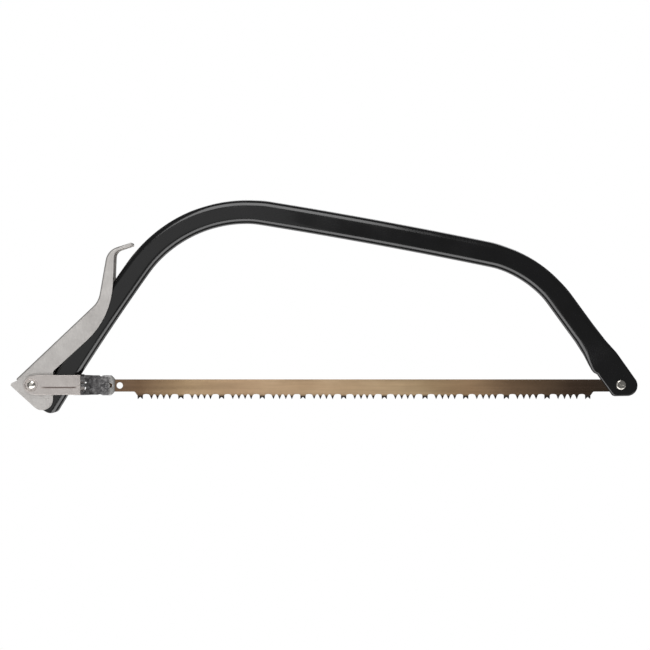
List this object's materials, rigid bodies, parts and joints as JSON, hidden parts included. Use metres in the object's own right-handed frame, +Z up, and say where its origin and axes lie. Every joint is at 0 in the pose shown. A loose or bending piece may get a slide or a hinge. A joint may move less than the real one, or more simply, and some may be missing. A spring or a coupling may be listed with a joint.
{
  "type": "bow saw",
  "caption": "Bow saw: bent oval tube frame, peg-and-raker blade on a screw, and an over-centre lever that pulls the blade tight through a link and a clip.",
  "frame": {"origin": "on the tube's centre line where the left leg starts to bend, where the hand holds the saw", "axes": "+Z up with the teeth down, +X along the blade from the tension lever towards the blade screw, front face towards -Y"},
  "size_m": [0.6435, 0.0246, 0.219],
  "materials": {
    "frame_paint": "gloss black stoved enamel",
    "lever_zinc": "satin zinc plate",
    "link_zinc": "satin nickel plate",
    "clip_phosphate": "dark phosphated steel",
    "blade_temper": "bronze temper colour, brushed",
    "fastener_nickel": "bright nickel plate"
  },
  "bodies": {
    "bow": {"frame_tube": "frame_paint", "pivot_bush": "fastener_nickel", "blade_screw": "fastener_nickel", "spring_washer": "fastener_nickel", "blade_nut": "fastener_nickel"},
    "tension_lever": {"lever": "lever_zinc", "lever_pin": "fastener_nickel"},
    "link": {"link_front_plate": "link_zinc", "link_rear_plate": "link_zinc", "link_rivet": "fastener_nickel", "rivet_sleeve": "fastener_nickel", "blade_clip": "clip_phosphate"},
    "saw_blade": {"blade": "blade_temper", "blade_pin": "fastener_nickel", "pin_ring": "fastener_nickel"}
  },
  "joints": [
    {"name": "lever_hinge", "type": "hinge", "parent": "bow", "child": "tension_lever", "pos_m": [-0.1068, 0, -0.1464], "axis": [0, -1, 0], "range_deg": [0, 70]},
    {"name": "link_hinge", "type": "hinge", "parent": "tension_lever", "child": "link", "pos_m": [-0.1218, 0, -0.1374], "axis": [0, -1, 0], "range_deg": [-68.2, 0]},
    {"name": "blade_hinge", "type": "hinge", "parent": "bow", "child": "saw_blade", "pos_m": [0.4821, 0, -0.1378], "axis": [0, -1, 0], "range_deg": [0, 1.95]}
  ],
  "couplings": [
    {"joint": "link_hinge", "follows": "lever_hinge", "ratio": -0.9726},
    {"joint": "blade_hinge", "follows": "lever_hinge", "ratio": 0.0274}
  ]
}
